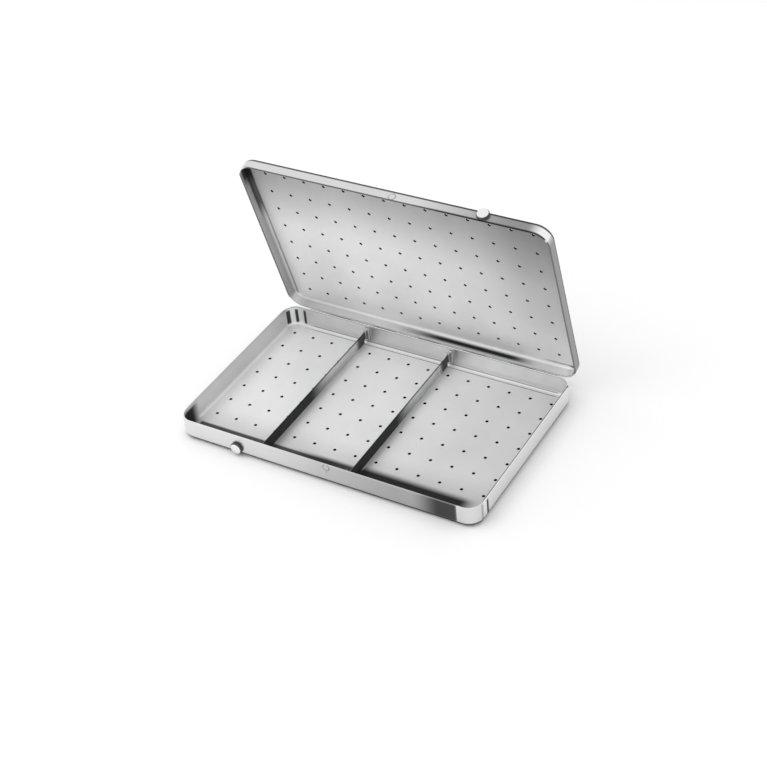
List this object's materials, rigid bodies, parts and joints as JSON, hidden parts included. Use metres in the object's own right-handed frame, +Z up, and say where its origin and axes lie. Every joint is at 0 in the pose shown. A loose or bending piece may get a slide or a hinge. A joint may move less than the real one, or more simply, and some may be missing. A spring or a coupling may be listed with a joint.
{
  "type": "sterilization container",
  "caption": "Shallow stainless sterilization case with a perforated tray, two dividers and a perforated hinged lid that slips over the tray and snaps shut.",
  "frame": {"origin": "centre of the tray's underside, on the surface it stands on", "axes": "+X to the right along the case's length, +Y to the hinge at the rear, +Z up; the front with the finger studs faces -Y"},
  "size_m": [0.15, 0.103, 0.1028],
  "materials": {
    "satin_stainless": "satin",
    "divider_stainless": "satin",
    "turned_stainless": "polished"
  },
  "bodies": {
    "base": {"base_tray": "satin_stainless", "divider_left": "divider_stainless", "divider_right": "divider_stainless", "hinge_leaf_base": "satin_stainless", "hinge_pin": "turned_stainless", "base_stud": "turned_stainless"},
    "lid": {"lid_shell": "satin_stainless", "hinge_leaf_lid": "satin_stainless", "lid_stud": "turned_stainless"}
  },
  "joints": [
    {"name": "lid_hinge", "type": "hinge", "parent": "base", "child": "lid", "pos_m": [0, 0.0492, 0.0065], "axis": [-1, 0, 0], "range_deg": [-74.5, 105.5]}
  ]
}
